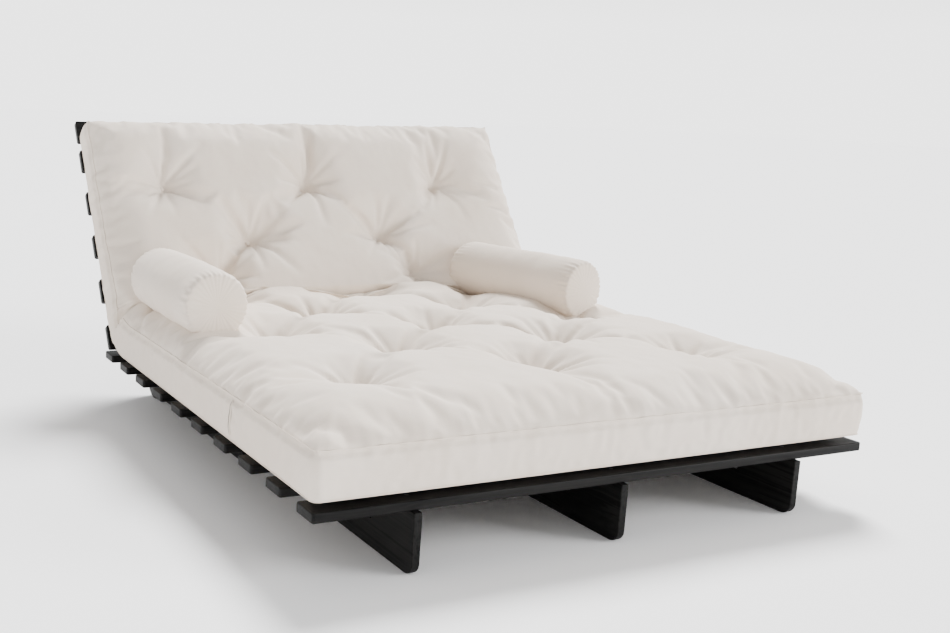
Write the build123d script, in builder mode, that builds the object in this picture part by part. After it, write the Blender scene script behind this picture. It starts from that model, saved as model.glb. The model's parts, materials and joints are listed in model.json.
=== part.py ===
"""Futon sofa bed: a slatted pine bed base that telescopes in depth, with a folding slatted
backrest, a tufted cotton futon and two loose bolsters.  It stands in its lounger position: the
seat is pulled out to its full depth and the backrest is raised.

Millimetres.  +X runs to the right as one faces the sofa, +Y from the front edge to the back, and
+Z up.  The layout has Y = 0 at the front edge of the front slat and Z = 0 on the floor.  Each
piece is then written with the origin below the middle of the whole part.
"""
import math
import os

from build123d import *

# ---- Slats and deck ---------------------------------------------------------------------------
SLAT_LENGTH = 1400.0
SLAT_WIDTH = 70.0
SLAT_THICKNESS = 20.0
SLAT_PITCH = 140.0  # two slat widths, so each gap is as wide as a slat
SLAT_EDGE_RADIUS = 3.0
SLAT_CORNER_RADIUS = 6.0
SEAT_SLATS = 10
BACK_SLATS = 6

# ---- Boards on edge ---------------------------------------------------------------------------
BOARD_THICKNESS = 18.0
BOARD_HEIGHT = 125.0
BOARD_EDGE_RADIUS = 2.0
BOARD_CORNER_RADIUS = 26.0
SLIDING_GAP = 0.4  # air between a sliding slat and the front board below it
FRONT_BOARD_NOSE = 12.0  # how far a front board stands out in front of the front slat
FRONT_BOARD_END = 870.0
REAR_BOARD_START = 700.0
REAR_BOARD_END = 1380.0
FRONT_BOARD_X = 487.0
GUIDE_GAP = 24.0  # air between a front board and the rear board that guides it
LAYER_GAP = 3.0  # air between a rear board and the backrest board that turns beside it

# ---- Telescoping guide ------------------------------------------------------------------------
SLAT_GAP_CLOSED = 4.4
GUIDE_BOLT_Y = (745.0, 835.0)
GUIDE_Z = 62.5
GUIDE_BOLT_RADIUS = 4.0
GUIDE_SLOT_PLAY = 0.3
SLOT_END_PLAY = 6.0
SPACER_RADIUS = 9.0

# ---- Backrest ---------------------------------------------------------------------------------
RECLINE = 33.6  # degrees from upright
HINGE_Y = 1318.0
HINGE_Z = 63.2
HINGE_TO_EDGE = 62.5  # hinge axis to the edge of the backrest board that carries the slats
FIRST_BACK_SLAT = 65.0  # hinge axis to the lower edge of the lowest slat, along the board
TOP_SLAT_RISE = 660.0  # lowest slat to the top slat, which sits closer to its neighbour
BACK_BOARD_TOP = 800.0
HINGE_BOLT_RADIUS = 5.0
NOTCH_PLAY = 1.0  # each side of a backrest board, in the notches of the rearmost seat slat
NOTCH_FRONT = 1275.0

# ---- Fasteners --------------------------------------------------------------------------------
RUNNING_PLAY = 0.05
FACE_PLAY = 0.3
WASHER_THICKNESS = 1.6
SCREW_RADIUS = 2.5
SCREW_HEAD_RADIUS = 4.5
SCREW_LENGTH = 45.0
COUNTERSINK_ANGLE = 82.0

# ---- Futon and bolsters -----------------------------------------------------------------------
FUTON_WIDTH = 1396.0
SEAT_FUTON_FRONT = 4.0
SEAT_FUTON_BASE = 146.0
SEAT_FUTON_THICKNESS = 142.0
BACK_FUTON_THICKNESS = 120.0
BACK_FUTON_TOP = 757.0  # along the backrest from the hinge axis
FUTON_LIFT = 0.6  # air between the back futon and its slats
MITRE_GAP = 3.0  # from the plane that halves the bend to each futon solid
FUTON_EDGE_RADIUS = 22.0
TUFT_RADIUS = 9.0
TUFT_THICKNESS = 5.0
TUFT_RECESS_RADIUS = 14.0
TUFT_RECESS_DEPTH = 12.0
TUFT_OUTER_X = 452.0
TUFT_INNER_X = 226.0
SEAT_TUFT_ROWS = (308.0, 521.0, 734.0, 947.0, 1150.0)
BACK_TUFT_ROWS = (525.0, 335.0, 160.0)  # along the backrest from the hinge axis
BOLSTER_RADIUS = 85.0
BOLSTER_LENGTH = 450.0
BOLSTER_FRONT_Y = 782.0
BOLSTER_EDGE_RADIUS = 24.0
BOLSTER_PLACES = {"left": (-583.0, 0.5), "right": (471.0, -12.5)}  # middle X, turn in degrees

# ---- Webbing ----------------------------------------------------------------------------------
WEBBING_X = 260.0
WEBBING_WIDTH = 40.0
WEBBING_THICKNESS = 1.5
WEBBING_TOP = 124.4
WEBBING_END_MARGIN = 10.0

# ---- Worked out from the sizes above ----------------------------------------------------------
TRAVEL = (SEAT_SLATS - 1) * (SLAT_PITCH - SLAT_WIDTH - SLAT_GAP_CLOSED)
DECK_Z = BOARD_HEIGHT + SLIDING_GAP
REAR_OFFSET = BOARD_THICKNESS + GUIDE_GAP
BACK_OFFSET = REAR_OFFSET + BOARD_THICKNESS + LAYER_GAP
SIDES = {"left": (-FRONT_BOARD_X, -1), "middle": (0.0, -1), "right": (FRONT_BOARD_X, 1)}
UP_Y, UP_Z = math.sin(math.radians(RECLINE)), math.cos(math.radians(RECLINE))
BACK_FACE = HINGE_TO_EDGE + SLAT_THICKNESS + FUTON_LIFT  # hinge axis to the back of the futon
BACK_SLAT_RISES = [i * SLAT_PITCH for i in range(BACK_SLATS - 1)] + [TOP_SLAT_RISE]
REAR_EXTREME = (
    HINGE_Y
    + (BACK_BOARD_TOP - BOARD_CORNER_RADIUS) * UP_Y
    + (HINGE_TO_EDGE - BOARD_CORNER_RADIUS) * UP_Z
    + BOARD_CORNER_RADIUS
)
TO_ORIGIN = Location((0, (FRONT_BOARD_NOSE - REAR_EXTREME) / 2, 0))
# Plane of the backrest: local x along X, local y up the backrest, local z out of its face.
BACK_PLANE = Plane(origin=(0, HINGE_Y, HINGE_Z), x_dir=(1, 0, 0), z_dir=(0, -UP_Z, UP_Y))


def save(piece: Part, name: str) -> None:
    """Labels a piece, moves it from the layout to the part's origin and writes it."""
    placed = piece.moved(TO_ORIGIN)
    placed.label = name
    export_step(placed, f"parts/{name}.step")


def section_plane(x: float) -> Plane:
    """The upright plane across X, with local x along Y and local y along Z."""
    return Plane.YZ.offset(x)


def back_section_plane(x: float) -> Plane:
    """The upright plane across X, with local x up the backrest and local y out of its face."""
    return Plane(origin=(x, HINGE_Y, HINGE_Z), x_dir=(0, UP_Y, UP_Z), z_dir=(1, 0, 0))


# ---- Wood -------------------------------------------------------------------------------------
def slat(plane: Plane, screw_xs: list[float], notch_xs: list[float]) -> Part:
    """A slat whose underside is centred on the plane, with screw holes and rear notches."""
    with BuildPart() as piece:
        with BuildSketch(plane):
            RectangleRounded(SLAT_LENGTH, SLAT_WIDTH, SLAT_CORNER_RADIUS)
        extrude(amount=SLAT_THICKNESS)
        rims = piece.edges().filter_by(Axis((0, 0, 0), plane.z_dir), reverse=True)
        fillet(rims, SLAT_EDGE_RADIUS)
        for x in screw_xs:
            with Locations(plane.location * Location((x, 0, SLAT_THICKNESS))):
                CounterSinkHole(SCREW_RADIUS + RUNNING_PLAY, SCREW_HEAD_RADIUS + RUNNING_PLAY)
        for x in notch_xs:
            depth = (SEAT_SLATS - 1) * SLAT_PITCH + SLAT_WIDTH - NOTCH_FRONT
            with BuildSketch(plane):
                with Locations((x, SLAT_WIDTH / 2)):
                    Rectangle(
                        BOARD_THICKNESS + 2 * NOTCH_PLAY,
                        depth,
                        align=(Align.CENTER, Align.MAX),
                    )
            extrude(amount=SLAT_THICKNESS, mode=Mode.SUBTRACT)
    return piece.part


def seat_slat_plane(index: int) -> Plane:
    """Underside of a seat slat.  The front slat is screwed down on the front boards."""
    base = BOARD_HEIGHT if index == 0 else DECK_Z
    return Plane.XY.offset(base).move(Location((0, index * SLAT_PITCH + SLAT_WIDTH / 2, 0)))


def back_slat_plane(rise: float) -> Plane:
    """Back of a backrest slat, on the edges of the backrest boards."""
    middle = FIRST_BACK_SLAT + rise + SLAT_WIDTH / 2
    return Plane(
        origin=(BACK_PLANE.location * Location((0, middle, HINGE_TO_EDGE))).position,
        x_dir=BACK_PLANE.x_dir,
        z_dir=BACK_PLANE.z_dir,
    )


def ease_outline(piece: BuildPart) -> None:
    """Takes the sharp edge off both outlines of a board."""
    fillet(piece.faces().filter_by(Axis.X).edges(), BOARD_EDGE_RADIUS)


def front_board(x: float) -> Part:
    """A front leg board with the long slot that runs along the guide bolts."""
    length = FRONT_BOARD_NOSE + FRONT_BOARD_END
    slot_start = GUIDE_BOLT_Y[0] - TRAVEL - SLOT_END_PLAY
    slot_end = GUIDE_BOLT_Y[1] + SLOT_END_PLAY
    with BuildPart() as piece:
        with BuildSketch(section_plane(x)) as outline:
            with Locations(((FRONT_BOARD_END - FRONT_BOARD_NOSE) / 2, BOARD_HEIGHT / 2)):
                Rectangle(length, BOARD_HEIGHT)
            fillet(outline.vertices().group_by(Axis.Y)[0], BOARD_CORNER_RADIUS)
        extrude(amount=BOARD_THICKNESS / 2, both=True)
        ease_outline(piece)
        with BuildSketch(section_plane(x)):
            with Locations(((slot_start + slot_end) / 2, GUIDE_Z)):
                SlotCenterToCenter(slot_end - slot_start, 2 * (GUIDE_BOLT_RADIUS + GUIDE_SLOT_PLAY))
        extrude(amount=BOARD_THICKNESS, both=True, mode=Mode.SUBTRACT)
        with Locations(Location((x, SLAT_WIDTH / 2, BOARD_HEIGHT))):
            Hole(SCREW_RADIUS + RUNNING_PLAY, depth=SCREW_LENGTH)
    return piece.part


def rear_board(x: float) -> Part:
    """A rear leg board, drilled for the guide bolts and the backrest hinge."""
    last_slat = (SEAT_SLATS - 1) * SLAT_PITCH + SLAT_WIDTH / 2
    with BuildPart() as piece:
        with BuildSketch(section_plane(x)) as outline:
            with Locations(((REAR_BOARD_START + REAR_BOARD_END) / 2, DECK_Z / 2)):
                Rectangle(REAR_BOARD_END - REAR_BOARD_START, DECK_Z)
            fillet(outline.vertices().group_by(Axis.Y)[0], BOARD_CORNER_RADIUS)
            fillet(outline.vertices().group_by(Axis.Y)[-1].sort_by(Axis.X)[-1], BOARD_CORNER_RADIUS)
        extrude(amount=BOARD_THICKNESS / 2, both=True)
        ease_outline(piece)
        with BuildSketch(section_plane(x)):
            with Locations(*[(y, GUIDE_Z) for y in GUIDE_BOLT_Y]):
                Circle(GUIDE_BOLT_RADIUS + RUNNING_PLAY)
            with Locations((HINGE_Y, HINGE_Z)):
                Circle(HINGE_BOLT_RADIUS + RUNNING_PLAY)
        extrude(amount=BOARD_THICKNESS, both=True, mode=Mode.SUBTRACT)
        with Locations(Location((x, last_slat, DECK_Z))):
            Hole(SCREW_RADIUS + RUNNING_PLAY, depth=SCREW_LENGTH)
    return piece.part


def back_board(x: float) -> Part:
    """A backrest board: it carries the back slats and is a leg when the backrest lies flat."""
    with BuildPart() as piece:
        with BuildSketch(back_section_plane(x)) as outline:
            with Locations((BACK_BOARD_TOP / 2, 0)):
                Rectangle(BACK_BOARD_TOP, 2 * HINGE_TO_EDGE)
            Circle(HINGE_TO_EDGE)
            fillet(outline.vertices().group_by(Axis.X)[-1].sort_by(Axis.Y)[0], BOARD_CORNER_RADIUS)
        extrude(amount=BOARD_THICKNESS / 2, both=True)
        ease_outline(piece)
        with BuildSketch(back_section_plane(x)):
            Circle(HINGE_BOLT_RADIUS + RUNNING_PLAY)
        extrude(amount=BOARD_THICKNESS, both=True, mode=Mode.SUBTRACT)
        for rise in BACK_SLAT_RISES:
            middle = FIRST_BACK_SLAT + rise + SLAT_WIDTH / 2
            with Locations(BACK_PLANE.location * Location((x, middle, HINGE_TO_EDGE))):
                Hole(SCREW_RADIUS + RUNNING_PLAY, depth=SCREW_LENGTH)
    return piece.part


def make_wood() -> None:
    """Writes every slat and board."""
    front_xs = [x for x, _ in SIDES.values()]
    rear_xs = [x + side * REAR_OFFSET for x, side in SIDES.values()]
    back_xs = [x + side * BACK_OFFSET for x, side in SIDES.values()]
    for index in range(SEAT_SLATS):
        first, last = index == 0, index == SEAT_SLATS - 1
        screw_xs = front_xs if first else rear_xs if last else []
        notch_xs = back_xs if last else []
        save(slat(seat_slat_plane(index), screw_xs, notch_xs), f"seat_slat_{index + 1:02d}")
    for number, rise in enumerate(BACK_SLAT_RISES, start=1):
        save(slat(back_slat_plane(rise), back_xs, []), f"back_slat_{number}")
    for side, front_x, rear_x, back_x in zip(SIDES, front_xs, rear_xs, back_xs):
        save(front_board(front_x), f"front_board_{side}")
        save(rear_board(rear_x), f"rear_board_{side}")
        save(back_board(back_x), f"back_board_{side}")


# ---- Fasteners --------------------------------------------------------------------------------
def discs(spots: list[tuple[float, float, float, float]], outer: float, inner: float) -> Part:
    """Round pieces across X.  Each spot is start X, signed length, Y and Z."""
    with BuildPart() as group:
        for x, length, y, z in spots:
            with BuildSketch(section_plane(x)):
                with Locations((y, z)):
                    Circle(outer)
                    if inner:
                        Circle(inner, mode=Mode.SUBTRACT)
            extrude(amount=length)
    return group.part


def nuts(spots: list[tuple[float, float, float, float]], across: float, inner: float) -> Part:
    """Hexagon nuts across X, with the spots given as for discs."""
    with BuildPart() as group:
        for x, length, y, z in spots:
            with BuildSketch(section_plane(x)):
                with Locations((y, z)):
                    RegularPolygon(across / 2, 6, major_radius=False)
                    Circle(inner, mode=Mode.SUBTRACT)
            extrude(amount=length)
    return group.part


def bolts(spots: list[tuple[float, float, float, float]], radius: float, head: float) -> Part:
    """Round-headed bolts across X.  Each spot is the X under the head, and the shank's length."""
    with BuildPart() as one:
        Cylinder(head, radius, align=(Align.CENTER, Align.CENTER, Align.MIN))
        fillet(one.faces().sort_by(Axis.Z)[-1].edges(), radius * 0.7)
        Cylinder(radius, abs(spots[0][1]), align=(Align.CENTER, Align.CENTER, Align.MAX))
    with BuildPart() as group:
        for x, length, y, z in spots:
            with Locations(Plane(origin=(x, y, z), z_dir=(-length, 0, 0)).location):
                add(one.part)
    return group.part


def screws(places: list[Location]) -> Part:
    """Countersunk wood screws.  Each place is the centre of a head, with Z out of the wood."""
    spread = math.tan(math.radians(COUNTERSINK_ANGLE / 2))
    head_height = (SCREW_HEAD_RADIUS - SCREW_RADIUS) / spread
    top = (Align.CENTER, Align.CENTER, Align.MAX)
    with BuildPart() as group:
        with Locations(*places):
            Cone(SCREW_RADIUS, SCREW_HEAD_RADIUS, head_height, align=top)
            Cylinder(SCREW_RADIUS, SCREW_LENGTH, align=top)
    return group.part


def make_guides() -> None:
    """Writes the bolts, spacers, washers and nuts that the front boards slide along."""
    half = BOARD_THICKNESS / 2
    nut_thickness = 6.5
    reach = GUIDE_GAP + 2 * BOARD_THICKNESS + FACE_PLAY + WASHER_THICKNESS + nut_thickness + 4
    bolt_spots, spacer_spots, washer_spots, nut_spots = [], [], [], []
    for x, side in SIDES.values():
        inside = x - side * (half + FACE_PLAY)
        for y in GUIDE_BOLT_Y:
            bolt_spots.append((x + side * (REAR_OFFSET + half), -side * reach, y, GUIDE_Z))
            spacer = (x + side * (half + FACE_PLAY), side * (GUIDE_GAP - FACE_PLAY), y, GUIDE_Z)
            spacer_spots.append(spacer)
            washer_spots.append((inside, -side * WASHER_THICKNESS, y, GUIDE_Z))
            nut_x = inside - side * WASHER_THICKNESS
            nut_spots.append((nut_x, -side * nut_thickness, y, GUIDE_Z))
    inner = GUIDE_BOLT_RADIUS + RUNNING_PLAY
    save(bolts(bolt_spots, GUIDE_BOLT_RADIUS, 2 * GUIDE_BOLT_RADIUS), "guide_bolts")
    save(discs(spacer_spots, SPACER_RADIUS, inner), "guide_spacers")
    save(discs(washer_spots, 2.5 * GUIDE_BOLT_RADIUS, inner), "guide_washers")
    save(nuts(nut_spots, 3.25 * GUIDE_BOLT_RADIUS, inner), "guide_nuts")


def make_hinge() -> None:
    """Writes the hinge bolts, the friction discs between the boards and the lock nuts."""
    half = BOARD_THICKNESS / 2
    nut_thickness = 8.0
    reach = FACE_PLAY + 2 * BOARD_THICKNESS + LAYER_GAP + nut_thickness + 4
    bolt_spots, disc_spots, nut_spots = [], [], []
    for x, side in SIDES.values():
        outside = x + side * (BACK_OFFSET + half + FACE_PLAY)
        bolt_spots.append((outside, -side * reach, HINGE_Y, HINGE_Z))
        gap_start = x + side * (REAR_OFFSET + half + FACE_PLAY)
        disc_spots.append((gap_start, side * (LAYER_GAP - 2 * FACE_PLAY), HINGE_Y, HINGE_Z))
        nut_x = x + side * (REAR_OFFSET - half)
        nut_spots.append((nut_x, -side * nut_thickness, HINGE_Y, HINGE_Z))
    inner = HINGE_BOLT_RADIUS + RUNNING_PLAY
    save(bolts(bolt_spots, HINGE_BOLT_RADIUS, 2 * HINGE_BOLT_RADIUS), "hinge_bolts")
    save(discs(disc_spots, 4 * HINGE_BOLT_RADIUS, inner), "hinge_friction_discs")
    save(nuts(nut_spots, 3.2 * HINGE_BOLT_RADIUS, inner), "hinge_lock_nuts")


def make_screws() -> None:
    """Writes the three groups of screws that hold slats on boards."""
    front, rear, back = [], [], []
    for x, side in SIDES.values():
        front.append(seat_slat_plane(0).location * Location((x, 0, SLAT_THICKNESS)))
        rear_x = x + side * REAR_OFFSET
        last = seat_slat_plane(SEAT_SLATS - 1)
        rear.append(last.location * Location((rear_x, 0, SLAT_THICKNESS)))
        for rise in BACK_SLAT_RISES:
            plane = back_slat_plane(rise)
            back.append(plane.location * Location((x + side * BACK_OFFSET, 0, SLAT_THICKNESS)))
    save(screws(front), "front_slat_screws")
    save(screws(rear), "rear_slat_screws")
    save(screws(back), "back_slat_screws")


# ---- Soft parts -------------------------------------------------------------------------------
def tuft_xs(row: int) -> list[float]:
    """The tufts of a row: three in even rows and two between them in odd rows."""
    return [-TUFT_INNER_X, TUFT_INNER_X] if row % 2 else [-TUFT_OUTER_X, 0.0, TUFT_OUTER_X]


def tuft_places(top: Plane, rows: tuple[float, ...]) -> list[Location]:
    """Where the tufts of a futon face are, with Z out of the face."""
    return [
        top.location * Location((x, along, 0))
        for row, along in enumerate(rows)
        for x in tuft_xs(row)
    ]


def futon(plane: Plane, corners: list[tuple[float, float]], tufts: list[Location]) -> Part:
    """A futon half: a section across X, eased all round, with a recess at each tuft."""
    with BuildPart() as piece:
        with BuildSketch(plane):
            with BuildLine():
                Polyline(*corners, close=True)
            make_face()
        extrude(amount=FUTON_WIDTH / 2, both=True)
        fillet(piece.edges(), FUTON_EDGE_RADIUS)
        with Locations(*tufts):
            Hole(TUFT_RECESS_RADIUS, depth=TUFT_RECESS_DEPTH)
    return piece.part


def tuft_buttons(tufts: list[Location]) -> Part:
    """The round tufts that sit in the recesses of a futon face."""
    floor = Location((0, 0, FUTON_LIFT - TUFT_RECESS_DEPTH))
    with BuildPart() as group:
        with Locations(*[tuft * floor for tuft in tufts]):
            Cylinder(TUFT_RADIUS, TUFT_THICKNESS, align=(Align.CENTER, Align.CENTER, Align.MIN))
    return group.part


def make_futon() -> None:
    """Writes the seat and back of the futon, which meet on the plane that halves the bend."""
    half_bend = math.radians((90 + RECLINE) / 2)
    gap = MITRE_GAP / math.sin(half_bend)
    bend_up = (SEAT_FUTON_BASE - HINGE_Z - BACK_FACE * UP_Y) / UP_Z
    bend_y = HINGE_Y + bend_up * UP_Y - BACK_FACE * UP_Z
    seat_top = SEAT_FUTON_BASE + SEAT_FUTON_THICKNESS
    seat_corners = [
        (SEAT_FUTON_FRONT, SEAT_FUTON_BASE),
        (bend_y - gap, SEAT_FUTON_BASE),
        (bend_y - gap - SEAT_FUTON_THICKNESS / math.tan(half_bend), seat_top),
        (SEAT_FUTON_FRONT, seat_top),
    ]
    back_front = BACK_FACE + BACK_FUTON_THICKNESS
    back_corners = [
        (bend_up + gap, BACK_FACE),
        (BACK_FUTON_TOP, BACK_FACE),
        (BACK_FUTON_TOP, back_front),
        (bend_up + gap + BACK_FUTON_THICKNESS / math.tan(half_bend), back_front),
    ]
    seat_tufts = tuft_places(Plane.XY.offset(seat_top), SEAT_TUFT_ROWS)
    back_tufts = tuft_places(BACK_PLANE.offset(back_front), BACK_TUFT_ROWS)
    save(futon(section_plane(0), seat_corners, seat_tufts), "futon_seat")
    save(futon(back_section_plane(0), back_corners, back_tufts), "futon_back")
    save(tuft_buttons(seat_tufts), "seat_tufts")
    save(tuft_buttons(back_tufts), "back_tufts")


def bolster(x: float, turn: float) -> Part:
    """A round bolster that lies along the seat, its rear end turned about the vertical."""
    aim = (math.sin(math.radians(turn)), math.cos(math.radians(turn)), 0)
    centre_y = BOLSTER_FRONT_Y + BOLSTER_LENGTH / 2
    centre_z = SEAT_FUTON_BASE + SEAT_FUTON_THICKNESS + FUTON_LIFT + BOLSTER_RADIUS
    with BuildPart() as piece:
        with BuildSketch(Plane(origin=(x, centre_y, centre_z), z_dir=aim)):
            Circle(BOLSTER_RADIUS)
        extrude(amount=BOLSTER_LENGTH / 2, both=True)
        fillet(piece.edges().filter_by(GeomType.CIRCLE), BOLSTER_EDGE_RADIUS)
    return piece.part


def webbing(x: float) -> Part:
    """A strap stapled under every seat slat, which spreads the slats evenly."""
    length = (SEAT_SLATS - 1) * SLAT_PITCH + SLAT_WIDTH
    with BuildPart() as piece:
        with BuildSketch(Plane.XY.offset(WEBBING_TOP)):
            with Locations((x, length / 2)):
                Rectangle(WEBBING_WIDTH, length - 2 * WEBBING_END_MARGIN)
        extrude(amount=-WEBBING_THICKNESS)
    return piece.part


def main() -> None:
    """Writes one STEP file for each node."""
    os.makedirs("parts", exist_ok=True)
    make_wood()
    make_guides()
    make_hinge()
    make_screws()
    make_futon()
    for side, (x, turn) in BOLSTER_PLACES.items():
        save(bolster(x, turn), f"bolster_{side}")
    for side, sign in {"left": -1, "right": 1}.items():
        save(webbing(sign * WEBBING_X), f"webbing_{side}")


main()
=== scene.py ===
"""Looks of a futon sofa bed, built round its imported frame.

The wood and the hardware stay as they are packed and get their finishes here.  The futon, its
tufts, the two bolsters and the webbing are soft goods: each gets its own mesh in place of the
plain solid that the frame holds for it.
"""

import json
import logging
import math
from dataclasses import dataclass
from enum import Enum

import bmesh
import bpy
import numpy as np
from mathutils import Matrix, Vector, noise


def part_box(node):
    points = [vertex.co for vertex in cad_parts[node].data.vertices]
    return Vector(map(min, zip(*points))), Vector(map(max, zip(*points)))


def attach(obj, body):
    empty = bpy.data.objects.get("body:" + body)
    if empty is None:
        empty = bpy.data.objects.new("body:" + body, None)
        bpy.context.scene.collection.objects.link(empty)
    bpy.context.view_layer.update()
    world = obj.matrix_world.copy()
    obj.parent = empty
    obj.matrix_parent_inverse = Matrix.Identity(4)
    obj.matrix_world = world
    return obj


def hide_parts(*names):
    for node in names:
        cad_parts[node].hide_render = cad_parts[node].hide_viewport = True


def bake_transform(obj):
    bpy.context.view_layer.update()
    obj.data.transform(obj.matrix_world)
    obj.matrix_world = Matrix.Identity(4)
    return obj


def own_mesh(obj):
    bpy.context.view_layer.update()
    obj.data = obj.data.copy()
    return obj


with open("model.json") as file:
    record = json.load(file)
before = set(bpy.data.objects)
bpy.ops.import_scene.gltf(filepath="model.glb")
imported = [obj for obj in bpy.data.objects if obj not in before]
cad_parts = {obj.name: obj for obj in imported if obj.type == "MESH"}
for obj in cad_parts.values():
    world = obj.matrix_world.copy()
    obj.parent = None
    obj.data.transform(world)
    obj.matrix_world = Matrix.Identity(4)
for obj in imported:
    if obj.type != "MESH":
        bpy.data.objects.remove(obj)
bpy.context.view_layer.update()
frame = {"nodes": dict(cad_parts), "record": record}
log = logging.getLogger("futon_sofa_bed")

ROOT_BODY = "rear_section"
FOLD_JOINT = "back_fold"


def joint_named(name: str) -> dict:
    """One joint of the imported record.

    Args:
        name: The joint's name.

    Returns:
        The joint as the frame gives it.
    """
    return next(joint for joint in frame["record"]["behaviour"]["joints"] if joint["name"] == name)


RECLINE = math.pi / 2 - math.radians(joint_named(FOLD_JOINT)["range_deg"][1])


# ---- Finishes ---------------------------------------------------------------------------------
class Grain(Enum):
    """The direction in which a piece of wood was cut, as the turn that lays its grain along X."""

    ACROSS = (0.0, 0.0, 0.0)
    ALONG = (0.0, 0.0, -math.pi / 2)
    UP_THE_BACK = (RECLINE - math.pi / 2, 0.0, -math.pi / 2)


@dataclass
class NodeTree:
    """A short way to write a material's node tree."""

    material: bpy.types.Material

    def __post_init__(self) -> None:
        """Empties the tree and adds the shader and its output."""
        self.material.use_nodes = True
        self.tree = self.material.node_tree
        self.tree.nodes.clear()
        self.shader = self.add("ShaderNodeBsdfPrincipled")
        out = self.add("ShaderNodeOutputMaterial")
        self.link(self.shader.outputs["BSDF"], out.inputs["Surface"])

    def add(self, kind: str, **values: object) -> bpy.types.Node:
        """Adds a node.

        Args:
            kind: The node's type.
            **values: Input sockets by name, with underscores for spaces, or node properties.

        Returns:
            The new node.
        """
        node = self.tree.nodes.new(kind)
        for name, value in values.items():
            socket = node.inputs.get(name.replace("_", " "))
            if socket is not None:
                socket.default_value = value
            else:
                setattr(node, name, value)
        return node

    def link(self, source: bpy.types.NodeSocket, target: bpy.types.NodeSocket) -> None:
        """Joins an output socket to an input socket."""
        self.tree.links.new(source, target)

    def coordinates(self, scale: tuple, rotation: tuple = (0, 0, 0)) -> bpy.types.NodeSocket:
        """The piece's own coordinates, turned and then stretched.

        Args:
            scale: Stretch along each axis.
            rotation: Turn about each axis, in radians.

        Returns:
            The vector socket.
        """
        source = self.add("ShaderNodeTexCoord")
        turned = self.add("ShaderNodeMapping", Rotation=rotation)
        stretched = self.add("ShaderNodeMapping", Scale=scale)
        self.link(source.outputs["Object"], turned.inputs["Vector"])
        self.link(turned.outputs["Vector"], stretched.inputs["Vector"])
        return stretched.outputs["Vector"]

    def noise(self, vector: bpy.types.NodeSocket, scale: float, **values: object) -> bpy.types.Node:
        """A noise texture on the given coordinates.

        Args:
            vector: The coordinates' socket.
            scale: The noise's scale.
            **values: Other inputs of the noise by name.

        Returns:
            The noise node.
        """
        node = self.add("ShaderNodeTexNoise", Scale=scale, **values)
        self.link(vector, node.inputs["Vector"])
        return node

    def math(self, operation: str, a: object, b: object = 0.0) -> bpy.types.NodeSocket:
        """A math node on two sockets or numbers.

        Args:
            operation: The operation's name.
            a: First socket or number.
            b: Second socket or number.

        Returns:
            The result's socket.
        """
        node = self.add("ShaderNodeMath", operation=operation)
        for index, value in enumerate((a, b)):
            if isinstance(value, bpy.types.NodeSocket):
                self.link(value, node.inputs[index])
            else:
                node.inputs[index].default_value = value
        return node.outputs["Value"]

    def ramp(self, value: bpy.types.NodeSocket, stops: list[tuple]) -> bpy.types.NodeSocket:
        """A colour ramp.

        Args:
            value: What drives the ramp.
            stops: Pairs of position and colour.

        Returns:
            The colour socket.
        """
        node = self.add("ShaderNodeValToRGB")
        elements = node.color_ramp.elements
        while len(elements) < len(stops):
            elements.new(0.5)
        for element, (position, colour) in zip(elements, stops):
            element.position = position
            element.color = (*colour, 1.0)
        self.link(value, node.inputs["Fac"])
        return node.outputs["Color"]

    def span(self, value: bpy.types.NodeSocket, low: float, high: float) -> bpy.types.NodeSocket:
        """Maps 0 to 1 onto another span.

        Args:
            value: The socket to map.
            low: What 0 becomes.
            high: What 1 becomes.

        Returns:
            The mapped value's socket.
        """
        node = self.add("ShaderNodeMapRange")
        node.inputs["To Min"].default_value = low
        node.inputs["To Max"].default_value = high
        self.link(value, node.inputs["Value"])
        return node.outputs["Result"]

    def mixed(
        self, share: bpy.types.NodeSocket, first: bpy.types.NodeSocket, second: tuple
    ) -> bpy.types.NodeSocket:
        """Mixes a colour socket with a plain colour.

        Args:
            share: How much of the second colour, from 0 to 1.
            first: The first colour's socket.
            second: The second colour.

        Returns:
            The mixed colour's socket.
        """
        node = self.add("ShaderNodeMix", data_type="RGBA")
        factor, colour_a, colour_b = (node.inputs[index] for index in (0, 6, 7))
        self.link(share, factor)
        self.link(first, colour_a)
        colour_b.default_value = (*second, 1.0)
        return node.outputs[2]

    def bump(self, height: bpy.types.NodeSocket, distance: float, strength: float = 1.0) -> None:
        """Gives the shader a bump, on top of one that it already has.

        Args:
            height: The height's socket.
            distance: How far the full height stands out, in metres.
            strength: How much of it shows, from 0 to 1.
        """
        node = self.add("ShaderNodeBump", Distance=distance, Strength=strength)
        self.link(height, node.inputs["Height"])
        links = self.shader.inputs["Normal"].links
        if links:
            self.link(links[0].from_socket, node.inputs["Normal"])
        self.link(node.outputs["Normal"], self.shader.inputs["Normal"])


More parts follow.
